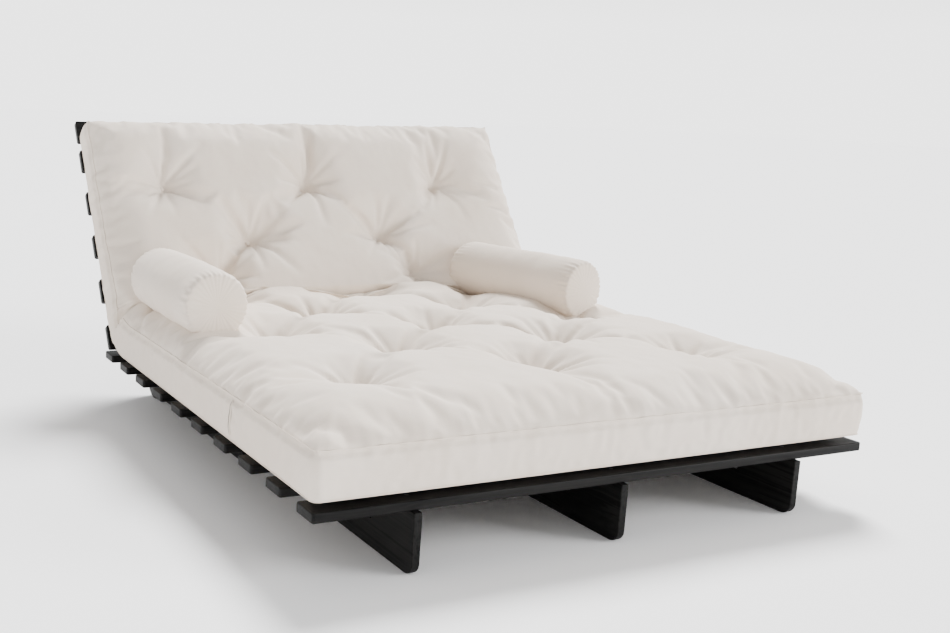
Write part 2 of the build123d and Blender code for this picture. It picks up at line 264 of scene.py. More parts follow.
@dataclass(frozen=True)
class StainedPine:
    """Black-stained pine: streaky grain with knots, a satin face and open pores."""

    name: str
    grain: Grain
    stain: tuple[float, float, float] = (0.0022, 0.0022, 0.0023)
    early_wood: tuple[float, float, float] = (0.010, 0.0097, 0.0093)
    knot: tuple[float, float, float] = (0.003, 0.003, 0.003)
    streaks: tuple[float, float, float] = (1.1, 55.0, 55.0)
    pores: tuple[float, float, float] = (9.0, 420.0, 420.0)
    knot_places: tuple[float, float, float] = (2.1, 8.5, 8.5)
    wander: tuple[float, float, float] = (1.6, 7.0, 7.0)
    drift: float = 0.030
    knot_bulge: float = 0.016

    def near_knots(self, tree: NodeTree) -> bpy.types.NodeSocket:
        """How near each place is to a knot, from 0 far away to 1 in its middle.

        Args:
            tree: The material's tree.

        Returns:
            The nearness's socket.
        """
        knots = tree.add("ShaderNodeTexVoronoi", Scale=1.0)
        places = tree.coordinates(self.knot_places, self.grain.value)
        tree.link(places, knots.inputs["Vector"])
        near = tree.add("ShaderNodeMapRange")
        near.inputs["From Min"].default_value = 0.30
        near.inputs["From Max"].default_value = 0.02
        tree.link(knots.outputs["Distance"], near.inputs["Value"])
        return near.outputs["Result"]

    def wandering(self, tree: NodeTree, near: bpy.types.NodeSocket) -> bpy.types.NodeSocket:
        """Coordinates that drift along the grain and bow round the knots.

        Args:
            tree: The material's tree.
            near: How near each place is to a knot.

        Returns:
            The coordinates' socket.
        """
        turn = self.grain.value
        drifting = tree.noise(tree.coordinates(self.wander, turn), 1.0, Detail=3.0)
        drift = tree.math("MULTIPLY", drifting.outputs["Fac"], self.drift)
        bulge = tree.math("MULTIPLY", near, self.knot_bulge)
        offset = tree.math("ADD", drift, bulge)
        push = tree.add("ShaderNodeCombineXYZ")
        tree.link(offset, push.inputs["Y"])
        tree.link(offset, push.inputs["Z"])
        shifted = tree.add("ShaderNodeVectorMath", operation="ADD")
        tree.link(tree.coordinates((1, 1, 1), turn), shifted.inputs[0])
        tree.link(push.outputs["Vector"], shifted.inputs[1])
        return shifted.outputs["Vector"]

    def material(self) -> bpy.types.Material:
        """Makes the material.

        Returns:
            The new material.
        """
        tree = NodeTree(bpy.data.materials.new(self.name))
        near = self.near_knots(tree)
        shifted = self.wandering(tree, near)
        stretch = tree.add("ShaderNodeMapping", Scale=self.streaks)
        tree.link(shifted, stretch.inputs["Vector"])
        grain = tree.noise(stretch.outputs["Vector"], 1.0, Detail=5.0, Roughness=0.62)
        fine = tree.add("ShaderNodeMapping", Scale=self.pores)
        tree.link(shifted, fine.inputs["Vector"])
        pores = tree.noise(fine.outputs["Vector"], 1.0, Detail=2.0)
        bands = tree.ramp(
            grain.outputs["Fac"],
            [(0.36, self.stain), (0.53, self.early_wood), (0.60, self.stain), (0.74, self.early_wood)],
        )
        dark = tree.math("MULTIPLY", near, 0.85)
        tree.link(tree.mixed(dark, bands, self.knot), tree.shader.inputs["Base Color"])
        rough = tree.span(grain.outputs["Fac"], 0.36, 0.62)
        tree.link(rough, tree.shader.inputs["Roughness"])
        tree.shader.inputs["Specular IOR Level"].default_value = 0.08
        tree.bump(grain.outputs["Fac"], 0.0009, 0.55)
        tree.bump(pores.outputs["Fac"], 0.00025, 0.5)
        return tree.material


@dataclass(frozen=True)
class Cotton:
    """Undyed cotton twill: a fine diagonal weave, slubs and a soft matt sheen."""

    name: str
    pale: tuple[float, float, float] = (0.725, 0.640, 0.555)
    warm: tuple[float, float, float] = (0.675, 0.582, 0.490)
    thread: float = 0.0011

    def material(self) -> bpy.types.Material:
        """Makes the material.

        Returns:
            The new material.
        """
        tree = NodeTree(bpy.data.materials.new(self.name))
        plain = tree.coordinates((1, 1, 1))
        cloud = tree.noise(plain, 3.2, Detail=4.0, Roughness=0.55)
        slub = tree.noise(tree.coordinates((35.0, 420.0, 420.0)), 1.0, Detail=2.0)
        tone = tree.math("ADD", cloud.outputs["Fac"], tree.math("MULTIPLY", slub.outputs["Fac"], 0.25))
        colour = tree.ramp(tone, [(0.38, self.warm), (0.78, self.pale)])
        tree.link(colour, tree.shader.inputs["Base Color"])
        weave = []
        for direction, turn in (("X", 0.0), ("Y", 0.6)):
            wave = tree.add("ShaderNodeTexWave", bands_direction=direction, Distortion=0.6)
            wave.inputs["Scale"].default_value = 0.5 / self.thread / 3.1
            wave.inputs["Detail"].default_value = 0.0
            tree.link(tree.coordinates((1, 1, 1), (turn, 0.35, 0.78)), wave.inputs["Vector"])
            weave.append(wave.outputs["Fac"])
        threads = tree.math("MULTIPLY", weave[0], weave[1])
        tree.bump(threads, 0.00025, 0.35)
        tree.bump(slub.outputs["Fac"], 0.0004, 0.3)
        tree.shader.inputs["Roughness"].default_value = 0.92
        tree.shader.inputs["Specular IOR Level"].default_value = 0.15
        tree.shader.inputs["Sheen Weight"].default_value = 0.08
        tree.shader.inputs["Sheen Roughness"].default_value = 0.5
        return tree.material


@dataclass(frozen=True)
class Metal:
    """Plain fastener metal with turning marks."""

    name: str
    colour: tuple[float, float, float]
    metallic: float = 1.0
    roughness: float = 0.35

    def material(self) -> bpy.types.Material:
        """Makes the material.

        Returns:
            The new material.
        """
        tree = NodeTree(bpy.data.materials.new(self.name))
        marks = tree.noise(tree.coordinates((60, 900, 900)), 1.0, Detail=2.0)
        rough = tree.span(marks.outputs["Fac"], self.roughness - 0.08, self.roughness + 0.12)
        tree.link(rough, tree.shader.inputs["Roughness"])
        dull = tuple(0.8 * value for value in self.colour)
        tone = tree.ramp(marks.outputs["Fac"], [(0.35, dull), (0.65, self.colour)])
        tree.link(tone, tree.shader.inputs["Base Color"])
        tree.shader.inputs["Metallic"].default_value = self.metallic
        tree.bump(marks.outputs["Fac"], 0.0001, 0.3)
        return tree.material


@dataclass(frozen=True)
class Moulded:
    """Black moulded plastic with a fine matt grain; the side opening also uses it, near black, as painted
    shade.
    """

    name: str
    colour: tuple[float, float, float] = (0.02, 0.02, 0.021)

    def material(self) -> bpy.types.Material:
        """Makes the material.

        Returns:
            The new material.
        """
        tree = NodeTree(bpy.data.materials.new(self.name))
        grain = tree.noise(tree.coordinates((1, 1, 1)), 1400.0, Detail=1.0)
        pale = tuple(1.4 * value for value in self.colour)
        tone = tree.ramp(grain.outputs["Fac"], [(0.3, self.colour), (0.7, pale)])
        tree.link(tone, tree.shader.inputs["Base Color"])
        tree.link(tree.span(grain.outputs["Fac"], 0.5, 0.65), tree.shader.inputs["Roughness"])
        tree.bump(grain.outputs["Fac"], 0.0001, 0.3)
        return tree.material


@dataclass(frozen=True)
class WovenTape:
    """Black polypropylene webbing with a ribbed weave across its length."""

    name: str
    colour: tuple[float, float, float] = (0.022, 0.022, 0.024)
    rib: float = 0.0022

    def material(self) -> bpy.types.Material:
        """Makes the material.

        Returns:
            The new material.
        """
        tree = NodeTree(bpy.data.materials.new(self.name))
        wave = tree.add("ShaderNodeTexWave", bands_direction="Y", Distortion=0.4)
        wave.inputs["Scale"].default_value = 1 / self.rib / 6.3
        tree.link(tree.coordinates((1, 1, 1)), wave.inputs["Vector"])
        pale = tuple(1.9 * value for value in self.colour)
        tone = tree.ramp(wave.outputs["Fac"], [(0.2, self.colour), (0.8, pale)])
        tree.link(tone, tree.shader.inputs["Base Color"])
        tree.shader.inputs["Roughness"].default_value = 0.7
        tree.bump(wave.outputs["Fac"], 0.0004, 0.8)
        return tree.material


# ---- Wood and hardware ------------------------------------------------------------------------
@dataclass
class Frame:
    """The slatted base and backrest, its fasteners and its finishes."""

    steel: tuple[float, float, float] = (0.52, 0.53, 0.55)
    black: tuple[float, float, float] = (0.03, 0.03, 0.032)

    def dress(self) -> None:
        """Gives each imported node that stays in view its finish."""
        across = StainedPine("pine_across", Grain.ACROSS).material()
        along = StainedPine("pine_along", Grain.ALONG).material()
        up_the_back = StainedPine("pine_up_the_back", Grain.UP_THE_BACK).material()
        steel = Metal("zinc_steel", self.steel).material()
        black_steel = Metal("black_screw", self.black, 0.6, 0.45).material()
        nylon = Moulded("nylon_black").material()
        finishes = {
            "seat_slat_": across,
            "back_slat_screws": black_steel,
            "back_slat_": across,
            "front_board_": along,
            "rear_board_": along,
            "back_board_": up_the_back,
            "front_slat_screws": black_steel,
            "rear_slat_screws": black_steel,
            "guide_spacers": nylon,
            "hinge_friction_discs": nylon,
            "guide_": steel,
            "hinge_": steel,
        }
        for node, piece in frame["nodes"].items():
            finish = next((made for start, made in finishes.items() if node.startswith(start)), None)
            if finish is None:
                continue
            for material_slot in piece.material_slots:
                material_slot.material = finish
            log.info("dressed %s", node)


# ---- Soft goods: shared mesh work -------------------------------------------------------------
def new_piece(name: str, points: np.ndarray, faces: list, finish: bpy.types.Material) -> bpy.types.Object:
    """Makes a smooth mesh object and links it to the scene.

    Args:
        name: The piece's name.
        points: Its corners, one row each.
        faces: Its faces, as corner numbers.
        finish: Its material.

    Returns:
        The new object.
    """
    mesh = bpy.data.meshes.new(name)
    mesh.from_pydata(points.tolist(), [], faces)
    mesh.materials.append(finish)
    mesh.polygons.foreach_set("use_smooth", [True] * len(mesh.polygons))
    piece = bpy.data.objects.new(name, mesh)
    bpy.context.scene.collection.objects.link(piece)
    return piece


def apply_modifiers(piece: bpy.types.Object) -> None:
    """Bakes a piece's modifiers into its mesh.

    Args:
        piece: The mesh object.
    """
    depsgraph = bpy.context.evaluated_depsgraph_get()
    made = bpy.data.meshes.new_from_object(piece.evaluated_get(depsgraph))
    old = piece.data
    piece.modifiers.clear()
    piece.data = made
    made.name = piece.name
    bpy.data.meshes.remove(old)


def corners_of(piece: bpy.types.Object) -> np.ndarray:
    """The places of a mesh's corners.

    Args:
        piece: The mesh object.

    Returns:
        One row for each corner.
    """
    flat = np.empty(len(piece.data.vertices) * 3)
    piece.data.vertices.foreach_get("co", flat)
    return flat.reshape(-1, 3)


def set_corners(piece: bpy.types.Object, points: np.ndarray) -> None:
    """Moves a mesh's corners to new places."""
    piece.data.vertices.foreach_set("co", points.ravel())
    piece.data.update()


def smooth_step(value: np.ndarray) -> np.ndarray:
    """Eases 0 to 1, and holds past both ends."""
    held = np.clip(value, 0.0, 1.0)
    return held * held * (3.0 - 2.0 * held)


def ripple(points: np.ndarray, scale: float, seed: float, octaves: int = 3) -> np.ndarray:
    """Smooth seeded noise at each point, from about -1 to 1.

    Args:
        points: The points, one row each.
        scale: How many waves there are to a metre, about.
        seed: Where in the noise to look.
        octaves: How many sizes of wave it has.

    Returns:
        One value for each point.
    """
    offset = Vector((seed, 2.7 * seed, -1.3 * seed))
    return np.array(
        [noise.fractal(Vector(p) * scale + offset, 1.0, 2.0, octaves) for p in points.tolist()]
    )


# ---- The futon --------------------------------------------------------------------------------
BUTTON_PROFILE = ((0.0, 0.0038), (0.0035, 0.0034), (0.0062, 0.0022), (0.0076, 0.0), (0.0066, -0.0022))
BUTTON_SIDES = 20
BUTTON_PROUD = 0.0020
SLIT_LIP = ((-0.0060, 0.0004), (-0.0034, 0.0030), (-0.0019, 0.0022))
SLIT_STEPS = 16
# Colour of the painted shade down the middle of the side opening.
SLIT_PAINTED_SHADE = (0.05, 0.035, 0.025)


@dataclass
class BendLine:
    """The underside of the futon, seen from the side: flat, then an arc, then up the backrest.

    Places on the futon are given by how far along this line they are and how far above it.
    back_face is how far the face of the backrest stands from its hinge.
    """

    front_y: float
    base_z: float
    hinge_y: float
    hinge_z: float
    recline: float
    back_face: float = 0.0831
    radius: float = 0.20

    def __post_init__(self) -> None:
        """Works out where the arc starts and ends."""
        self.turn = math.pi / 2 - self.recline
        self.up = (math.cos(self.turn), math.sin(self.turn))
        self.corner_rise = (
            self.base_z - self.hinge_z - self.back_face * math.sin(self.recline)
        ) / math.cos(self.recline)
        self.corner_y = (
            self.hinge_y
            + self.corner_rise * math.sin(self.recline)
            - self.back_face * math.cos(self.recline)
        )
        self.tangent = self.radius * math.tan(self.turn / 2)
        self.arc_start = self.corner_y - self.tangent - self.front_y
        self.arc_end = self.arc_start + self.radius * self.turn

    def along_back(self, rise: float) -> float:
        """Where a height up the backrest is along the line.

        Args:
            rise: The height, measured up the backrest from the hinge.

        Returns:
            Its distance along the line.
        """
        return self.arc_end + rise - self.corner_rise - self.tangent

    def place(self, along: np.ndarray, above: np.ndarray) -> tuple[np.ndarray, np.ndarray]:
        """Turns places on the futon into Y and Z.

        Args:
            along: Distances along the line.
            above: Heights above it.

        Returns:
            Y and Z of each place.
        """
        angle = np.clip((along - self.arc_start) / self.radius, 0.0, self.turn)
        centre_y = self.corner_y - self.tangent
        past = np.maximum(along - self.arc_end, 0.0)
        before = np.minimum(along - self.arc_start, 0.0)
        y = centre_y + before + (self.radius - above) * np.sin(angle) + past * self.up[0]
        z = self.base_z + self.radius - (self.radius - above) * np.cos(angle) + past * self.up[1]
        return y, z


@dataclass
class TuftPattern:
    """Rows of tufts along the futon: how far along each row is, and the X of each of its tufts."""

    rows: tuple[tuple[float, tuple[float, ...]], ...]
    longest_fold: float = 0.272

    def places(self) -> list[tuple[float, float]]:
        """Every tuft, as X and distance along the futon."""
        return [(x, along) for along, xs in self.rows for x in xs]

    def folds(self) -> list[tuple[float, float, float, float]]:
        """The diagonal folds between tufts of neighbouring rows.

        Returns:
            X and distance along of both ends of each fold.
        """
        found = []
        for (along, xs), (next_along, next_xs) in zip(self.rows, self.rows[1:]):
            for x in xs:
                for other in next_xs:
                    if abs(x - other) < self.longest_fold:
                        found.append((x, along, other, next_along))
        return found


@dataclass
class Futon:
    """A tufted cotton futon that bends from the seat up the backrest.

    It is made as one closed pad and is cut in two before the last row of seat tufts.  The front piece, its
    buttons and the side opening are tied to the rear section; the rear piece and its buttons are not tied
    to a body.
    """

    line: BendLine
    half_width: float
    end: float
    seat_rows: tuple[float, ...] = (0.304, 0.517, 0.730, 0.943, 1.146)
    three_tufts: tuple[float, ...] = (-0.452, 0.0, 0.452)
    two_tufts: tuple[float, ...] = (-0.226, 0.226)
    back_rows: tuple[tuple[float, tuple[float, ...]], ...] = (
        (0.205, (-0.390, 0.257)),
        (0.335, (-0.270, 0.165)),
        (0.525, (-0.505, -0.045, 0.420)),
    )
    cell: float = 0.0125
    seam_height: float = 0.112
    crown: float = 0.164
    dimple: float = 0.116
    dimple_radius: float = 0.052
    shoulder: float = 0.055
    corner_radius: float = 0.014
    crease_depth: float = 0.030
    crease_width: float = 0.028
    roll_height: float = 0.010
    roll_width: float = 0.035
    roll_from_crease: float = 0.085
    back_thinning: float = 0.10
    thinning_run: float = 0.25
    lean: float = 0.012
    border_rows: int = 9
    border_bulge: float = 0.006
    lower_lift: float = 0.018
    lift_run: float = 0.030
    seam_depth: float = 0.0035
    seam_width: float = 0.0045
    welt_radius: float = 0.0014
    gather_size: float = 0.0048
    gather_run: float = 0.055
    cloth_frames: int = 24
    cloth_pressure: float = 3.0
    spare_cloth: float = 0.045
    swell_limit: float = 0.022
    slit_along: float = 0.386
    slit_heights: tuple[float, float] = (0.030, 0.104)
    cut_past_middle: float = 0.03
    seed: int = 11

    def __post_init__(self) -> None:
        """Works out the grid and the tufts."""
        self.random = np.random.default_rng(self.seed)
        self.across = round(2 * self.half_width / self.cell)
        self.down = round(self.end / self.cell)
        kinds = (self.three_tufts, self.two_tufts)
        seat_rows = ((along, kinds[row % 2]) for row, along in enumerate(self.seat_rows))
        back_rows = ((self.line.along_back(rise), xs) for rise, xs in self.back_rows)
        self.seat_tufts = TuftPattern(tuple(seat_rows))
        self.back_tufts = TuftPattern(tuple(back_rows))
        self.tufts = self.seat_tufts.places() + self.back_tufts.places()
        self.crease = (self.line.arc_start + self.line.arc_end) / 2

    def grid(self) -> tuple[np.ndarray, np.ndarray]:
        """The plan of the futon, with its corners rounded.

        Returns:
            X and distance along of every grid corner.
        """
        x, along = np.meshgrid(
            np.linspace(-self.half_width, self.half_width, self.across + 1),
            np.linspace(0.0, self.end, self.down + 1),
            indexing="ij",
        )
        r = self.corner_radius
        side = self.half_width - np.abs(x)
        tip = np.minimum(along, self.end - along)
        a, b = np.clip(1 - side / r, 0, 1), np.clip(1 - tip / r, 0, 1)
        new_side = np.where(a * b > 0, r * (1 - a * np.sqrt(1 - b * b / 2)), side)
        new_tip = np.where(a * b > 0, r * (1 - b * np.sqrt(1 - a * a / 2)), tip)
        x = np.sign(x) * (self.half_width - new_side)
        along = np.where(along < self.end / 2, new_tip, self.end - new_tip)
        return x, along

    def top_height(self, x: np.ndarray, along: np.ndarray) -> np.ndarray:
        """How far the upper face stands above the underside.

        Args:
            x: Places across the futon.
            along: Places along it.

        Returns:
            The height at each place.
        """
        side = self.half_width - np.abs(x)
        tip = np.minimum(along, self.end - along)
        edge = np.maximum(np.minimum(side, tip), 0.0)
        rise = 1 - np.exp(-edge / self.shoulder)
        height = self.seam_height + (self.crown - self.seam_height) * rise
        nearest = np.full(x.shape, np.inf)
        for tuft_x, tuft_along in self.tufts:
            nearest = np.minimum(nearest, np.hypot(x - tuft_x, along - tuft_along))
        well = np.exp(-np.power(nearest / self.dimple_radius, 1.15))
        height = height - (self.crown - self.dimple) * well
        bend = along - self.crease
        height = height - self.crease_depth * np.exp(-((bend / self.crease_width) ** 2))
        roll = bend + self.roll_from_crease
        height = height + self.roll_height * np.exp(-((roll / self.roll_width) ** 2))
        thinned = smooth_step((along - self.line.arc_end) / self.thinning_run)
        return height * (1 - self.back_thinning * thinned)

    def fold_depth(self, x: np.ndarray, along: np.ndarray) -> np.ndarray:
        """How deep the diagonal folds between neighbouring tufts are.

        Args:
            x: Places across the futon.
            along: Places along it.

        Returns:
            The depth at each place.
        """
        depth = np.zeros(x.shape)
        for x0, along0, x1, along1 in self.seat_tufts.folds() + self.back_tufts.folds():
            run = math.hypot(x1 - x0, along1 - along0)
            ux, ua = (x1 - x0) / run, (along1 - along0) / run
            part = ((x - x0) * ux + (along - along0) * ua) / run
            bow = self.random.uniform(-0.016, 0.016)
            off = (x - x0) * ua - (along - along0) * ux - bow * 4 * part * (1 - part)
            inside = (part > 0) & (part < 1)
            ends = np.abs(2 * part - 1) ** 1.5
            width = 0.009 + 0.013 * (1 - ends)
            amount = self.random.uniform(0.013, 0.021) * (0.35 + 0.65 * ends)
            depth = np.maximum(depth, np.where(inside, amount * np.exp(-((off / width) ** 2)), 0.0))
        return depth

    def pleat_depth(self, x: np.ndarray, along: np.ndarray) -> np.ndarray:
        """How deep the short pleats that fan out from each tuft are.

        Args:
            x: Places across the futon.
            along: Places along it.

        Returns:
            The depth at each place.
        """
        depth = np.zeros(x.shape)
        for tuft_x, tuft_along in self.tufts:
            distance = np.hypot(x - tuft_x, along - tuft_along)
            angle = np.arctan2(along - tuft_along, x - tuft_x)
            count = int(self.random.integers(9, 13))
            start = self.random.uniform(0, 2 * math.pi)
            for number in range(count):
                aim = start + 2 * math.pi * (number + self.random.uniform(-0.3, 0.3)) / count
                reach = self.random.uniform(0.07, 0.20)
                amount = self.random.uniform(0.006, 0.015)
                bend = self.random.uniform(-0.5, 0.5)
                away = (angle - aim - bend * distance + math.pi) % (2 * math.pi) - math.pi
                off = distance * np.sin(np.clip(away, -1.3, 1.3))
                width = 0.0045 + 0.050 * distance
                fade = np.clip(1 - distance / reach, 0, 1) ** 0.7
                ahead = np.abs(away) < 1.3
                shape = amount * fade * np.exp(-((off / width) ** 2))
                depth = np.maximum(depth, np.where(ahead, shape, 0.0))
        return depth

    def ring(self) -> list[tuple[int, int]]:
        """The grid corners round the edge of a face, in order.

        Returns:
            The column and row of each.
        """
        right, far = self.across, self.down
        front = [(i, 0) for i in range(right)]
        side = [(right, j) for j in range(far)]
        back = [(i, far) for i in range(right, 0, -1)]
        return front + side + back + [(0, j) for j in range(far, 0, -1)]

    def outward(self, x: np.ndarray, along: np.ndarray) -> tuple[np.ndarray, np.ndarray]:
        """Which way the border faces at places on the edge.

        Args:
            x: Places across the futon.
            along: Places along it.

        Returns:
            The facing's X and along at each place.
        """
        inner = self.corner_radius
        ox = np.sign(x) * np.maximum(np.abs(x) - (self.half_width - inner), 0.0)
        oa = np.minimum(along - inner, 0.0) + np.maximum(along - (self.end - inner), 0.0)
        size = np.maximum(np.hypot(ox, oa), 1e-9)
        return ox / size, oa / size

    def solid(self) -> tuple[np.ndarray, list]:
        """The plain pad, before it is swollen.

        Returns:
            Its corners, as X, along and above, and its faces.
        """
        x, along = self.grid()
        top = np.stack([x, along, self.top_height(x, along)], axis=-1).reshape(-1, 3)
        edge = np.maximum(np.minimum(self.half_width - np.abs(x), along), 0.0)
        edge = np.minimum(edge, np.maximum(self.end - along, 0.0))
        lifted = self.lower_lift * np.exp(-((edge / self.lift_run) ** 1.5))
        bottom = np.stack([x, along, lifted], axis=-1).reshape(-1, 3)
        columns = self.down + 1
        ring = [i * columns + j for i, j in self.ring()]
        rim = top[ring]
        out_x, out_along = self.outward(rim[:, 0], rim[:, 1])
        rows = []
        for row in range(1, self.border_rows):
            share = row / self.border_rows
            swell = self.border_bulge * math.sin(math.pi * share) ** 0.6
            level = rim.copy()
            level[:, 0] += out_x * swell
            level[:, 1] += out_along * swell
            level[:, 2] = self.lower_lift + (rim[:, 2] - self.lower_lift) * share
            rows.append(level)
        points = np.concatenate([top, bottom, *rows])
        count, wide = len(top), len(ring)
        loops = [[count + corner for corner in ring]]
        loops += [[2 * count + row * wide + k for k in range(wide)] for row in range(len(rows))]
        loops += [ring]
        faces = []
        for i in range(self.across):
            for j in range(self.down):
                a, b = i * columns + j, (i + 1) * columns + j
                faces.append((a, b, b + 1, a + 1))
                faces.append((count + a, count + a + 1, count + b + 1, count + b))
        for low, high in zip(loops, loops[1:]):
            for k in range(wide):
                after = (k + 1) % wide
                faces.append((low[k], low[after], high[after], high[k]))
        self.loops, self.top_count = loops, count
        return points, faces

    def placed(self, points: np.ndarray) -> np.ndarray:
        """Turns X, along and above into places in the frame, with the top edge a little askew.

        Args:
            points: X, along and above, one row each.

        Returns:
            X, Y and Z, one row each.
        """
        risen = smooth_step((points[:, 1] - self.line.arc_end) / (self.end - self.line.arc_end))
        askew = self.lean * (points[:, 0] / self.half_width - 1.0) * risen
        y, z = self.line.place(points[:, 1] + askew, points[:, 2])
        return np.stack([points[:, 0], y, z], axis=-1)

    def hold_weights(self, points: np.ndarray) -> np.ndarray:
        """How firmly each corner is held while the pad swells.

        Args:
            points: The plain pad's corners, as X, along and above.

        Returns:
            A value for each corner, from 0 for free to 1 for fixed.
        """
        held = np.zeros(len(points))
        held[self.top_count : 2 * self.top_count] = 1.0
        for row, loop in enumerate(self.loops):
            held[loop] = 1.0 if row == 0 else 0.5
        held[self.loops[-1]] = 0.93
        top = points[: self.top_count]
        for tuft_x, tuft_along in self.tufts:
            near = np.hypot(top[:, 0] - tuft_x, top[:, 1] - tuft_along) < 1.1 * self.cell
            held[: self.top_count][near] = 1.0
        return held

    def swell(self, piece: bpy.types.Object, held: np.ndarray) -> None:
        """Inflates the pad as cloth that is a little too large for it, so that it creases.

        Args:
            piece: The pad, still as its plain grid.
            held: How firmly each corner is held, from 0 to 1.
        """
        before = corners_of(piece)
        group = piece.vertex_groups.new(name="held")
        for level in np.unique(held):
            if level > 0:
                group.add(np.nonzero(held == level)[0].tolist(), float(level), "REPLACE")
        cloth = piece.modifiers.new("swell", "CLOTH")
        cloth.settings.vertex_group_mass = "held"
        cloth.settings.quality = 5
        cloth.settings.mass = 0.25
        cloth.settings.tension_stiffness = 12.0
        cloth.settings.compression_stiffness = 12.0
        cloth.settings.shear_stiffness = 4.0
        cloth.settings.bending_stiffness = 0.35
        cloth.settings.air_damping = 3.0
        cloth.settings.pin_stiffness = 1.0
        cloth.settings.use_pressure = True
        cloth.settings.uniform_pressure_force = self.cloth_pressure
        cloth.settings.shrink_min = -self.spare_cloth
        cloth.settings.effector_weights.gravity = 0.0
        cloth.collision_settings.use_collision = False
        cloth.collision_settings.use_self_collision = False
        cloth.point_cache.frame_start = 1
        cloth.point_cache.frame_end = self.cloth_frames
        for number in range(1, self.cloth_frames + 1):
            bpy.context.scene.frame_set(number)
        apply_modifiers(piece)
        bpy.context.scene.frame_set(1)
        moved = corners_of(piece) - before
        far = np.linalg.norm(moved, axis=1, keepdims=True)
        moved *= np.minimum(1.0, self.swell_limit / np.maximum(far, 1e-9))
        set_corners(piece, before + moved)
        piece.vertex_groups.clear()

    def mark(self, piece: bpy.types.Object, points: np.ndarray) -> None:
        """Keeps each corner's X, along and above on the mesh, so that they survive refining.

        Args:
            piece: The pad.
            points: X, along and above of each corner.
        """
        layer = piece.data.attributes.new("pad", "FLOAT_VECTOR", "POINT")
        layer.data.foreach_set("vector", points.astype(np.float32).ravel())

    def marked(self, piece: bpy.types.Object) -> np.ndarray:
        """Reads what mark() kept, and takes it off the mesh.

        Args:
            piece: The pad.

        Returns:
            X, along and above of each corner.
        """
        layer = piece.data.attributes["pad"]
        flat = np.empty(len(layer.data) * 3, dtype=np.float32)
        layer.data.foreach_get("vector", flat)
        piece.data.attributes.remove(layer)
        return flat.reshape(-1, 3).astype(float)

    def sharpen(self, piece: bpy.types.Object) -> None:
        """Keeps both seams crisp when the pad is refined.

        Args:
            piece: The pad.
        """
        build = bmesh.new()
        build.from_mesh(piece.data)
        build.verts.ensure_lookup_table()
        layer = build.edges.layers.float.get("crease_edge")
        if layer is None:
            layer = build.edges.layers.float.new("crease_edge")
        for loop, sharpness in ((self.loops[-1], 0.75), (self.loops[0], 0.6)):
            for start, end in zip(loop, loop[1:] + loop[:1]):
                edge = build.edges.get((build.verts[start], build.verts[end]))
                edge[layer] = sharpness
        build.to_mesh(piece.data)
        build.free()

    def crumple(self, piece: bpy.types.Object) -> tuple[np.ndarray, np.ndarray]:
        """Works the folds, the pleats, the seams and the small wrinkles into the pad.

        Args:
            piece: The refined pad, marked by mark().

        Returns:
            X, along and above of each corner, and whether each is on the upper face.
        """
        pad = self.marked(piece)
        points = corners_of(piece)
        normals = np.array([vertex.normal[:] for vertex in piece.data.vertices])
        x, along, above = pad.T
        side = self.half_width - np.abs(x)
        tip = np.minimum(along, self.end - along)
        edge = np.maximum(np.minimum(side, tip), 0.0)
        upper = self.top_height(x, along)
        on_top = (above > 0.9 * upper) & (above > 0.5 * self.seam_height)
        under = (normals[:, 2] < -0.5) & ~on_top
        on_border = ~on_top & ~under
        to_seam = np.where(on_top, edge, np.abs(upper - above))
        runs_across = tip < side
        pulled = np.stack(
            [
                np.where(runs_across, x, side * 0.16),
                np.where(runs_across, tip * 0.16, along),
                above * 0.16,
            ],
            axis=-1,
        )
        gathers = ripple(pulled, 26.0, 9.3, 3)
        slow = ripple(points, 7.0, 1.7, 2)
        quick = ripple(points * np.array([1.0, 1.0, 0.55]), 30.0, 5.1, 3)
        amount = 0.0022 * slow + 0.0008 * quick
        amount += self.gather_size * gathers * np.exp(-to_seam / self.gather_run)
        amount -= self.seam_depth * np.exp(-((to_seam / self.seam_width) ** 2))
        amount -= np.where(on_top, self.fold_depth(x, along) + self.pleat_depth(x, along), 0.0)
        to_corner = np.maximum(side, tip)
        amount -= np.where(on_border, self.seam_depth * np.exp(-((to_corner / 0.006) ** 2)), 0.0)
        amount *= np.clip((above - 0.3 * self.lower_lift) / 0.02, 0.0, 1.0)
        amount[under] = 0.0
        set_corners(piece, points + normals * amount[:, None])
        return pad, on_top

    def button_seats(self, piece: bpy.types.Object, pad: np.ndarray, on_top: np.ndarray) -> list[tuple]:
        """Where each tuft's button sits: its place, the way it faces and its distance along.

        Args:
            piece: The finished pad.
            pad: X, along and above of each corner.
            on_top: Whether each corner is on the upper face.

        Returns:
            One place, facing and distance along for each tuft.
        """
        seats = []
        for tuft_x, tuft_along in self.tufts:
            away = np.hypot(pad[:, 0] - tuft_x, pad[:, 1] - tuft_along) + ~on_top
            place = piece.data.vertices[int(np.argmin(away))].co.copy()
            angle = np.clip((tuft_along - self.line.arc_start) / self.line.radius, 0, self.line.turn)
            facing = Vector((0.0, -math.sin(angle), math.cos(angle)))
            seats.append((place, facing, tuft_along))
        return seats

